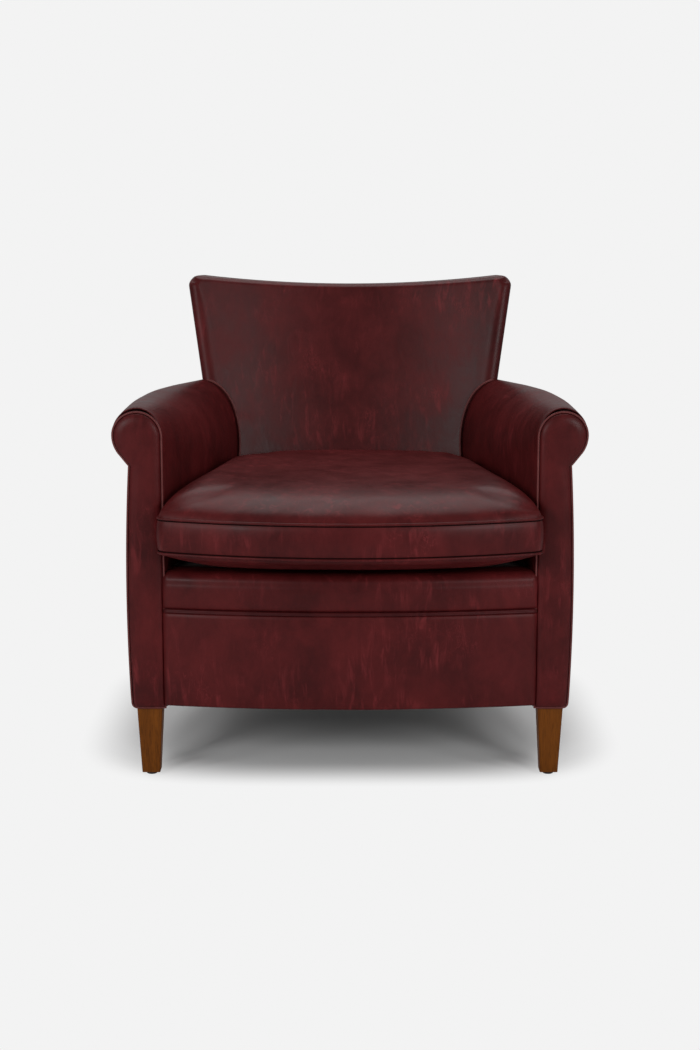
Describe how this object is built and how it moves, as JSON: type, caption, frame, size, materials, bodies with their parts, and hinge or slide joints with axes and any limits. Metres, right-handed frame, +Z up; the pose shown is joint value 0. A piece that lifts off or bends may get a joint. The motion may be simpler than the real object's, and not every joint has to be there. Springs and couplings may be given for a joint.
{
  "type": "roll-arm easy chair",
  "caption": "Low-backed roll-arm easy chair in dark red leather, with a loose piped seat cushion, bowed front, concave flared back and tapered square wood legs.",
  "frame": {"origin": "on the floor, under the middle of the chair's bounding box", "axes": "+Z up, the chair faces -Y, +X to the right as seen by someone standing in front of it"},
  "size_m": [0.7736, 0.7582, 0.8025],
  "materials": {
    "leather": "semi-gloss, mottled",
    "welt_leather": "semi-gloss",
    "leg_wood": "satin brown stain",
    "frame_wood": "raw sawn",
    "steel": "bare",
    "glide_plastic": "matte",
    "padding": "fibre",
    "webbing": "woven jute",
    "hessian": "coarse weave",
    "deck_cloth": "dark plain weave",
    "dust_cloth": "black non-woven",
    "zip_cloth": "woven tape",
    "zip_metal": "aged"
  },
  "bodies": {
    "chair": {"apron_pad": "padding", "arm_facing_left": "leather", "arm_facing_right": "leather", "arm_pad_left": "padding", "arm_pad_right": "padding", "arm_tack_rail_left": "frame_wood", "arm_tack_rail_right": "frame_wood", "arm_top_rail_left": "frame_wood", "arm_top_rail_right": "frame_wood", "back_pad": "padding", "back_post_left": "frame_wood", "back_post_right": "frame_wood", "back_tack_rail": "frame_wood", "back_top_rail": "frame_wood", "back_webbing": "webbing", "back_welt": "welt_leather", "corner_blocks": "frame_wood", "deck_cover": "deck_cloth", "deck_pad": "padding", "double_welt": "welt_leather", "dust_cover": "dust_cloth", "facing_welt_left": "welt_leather", "facing_welt_right": "welt_leather", "front_apron": "leather", "front_border": "leather", "front_edge_roll": "padding", "front_leg_left": "leg_wood", "front_leg_right": "leg_wood", "front_post_left": "frame_wood", "front_post_right": "frame_wood", "front_seat_rail": "frame_wood", "hanger_bolts": "steel", "hessian": "hessian", "inside_arm_cover_left": "leather", "inside_arm_cover_right": "leather", "inside_back_cover": "leather", "leg_glides": "glide_plastic", "outside_arm_cover_left": "leather", "outside_arm_cover_right": "leather", "outside_back_cover": "leather", "rear_leg_left": "leg_wood", "rear_leg_right": "leg_wood", "rear_seat_rail": "frame_wood", "seat_spring_1": "steel", "seat_spring_2": "steel", "seat_spring_3": "steel", "seat_spring_4": "steel", "seat_spring_5": "steel", "side_seat_rail_left": "frame_wood", "side_seat_rail_right": "frame_wood", "spring_clips": "steel"},
    "cushion": {"cushion_bottom_panel": "leather", "cushion_bottom_piping": "welt_leather", "cushion_boxing": "leather", "cushion_core": "padding", "cushion_top_panel": "leather", "cushion_top_piping": "welt_leather", "zip_tape": "zip_cloth", "zip_teeth": "zip_metal"},
    "zip_slider": {"zip_slider": "zip_metal"}
  },
  "joints": [
    {"name": "cushion_lift", "type": "slide", "parent": "chair", "child": "cushion", "axis": [0, 0, 1], "range_m": [0, 0.3]},
    {"name": "zip_travel", "type": "hinge", "parent": "cushion", "child": "zip_slider", "pos_m": [0, -0.46815, 0.4215], "axis": [0, 0, 1], "range_deg": [-26.3, 0]}
  ]
}
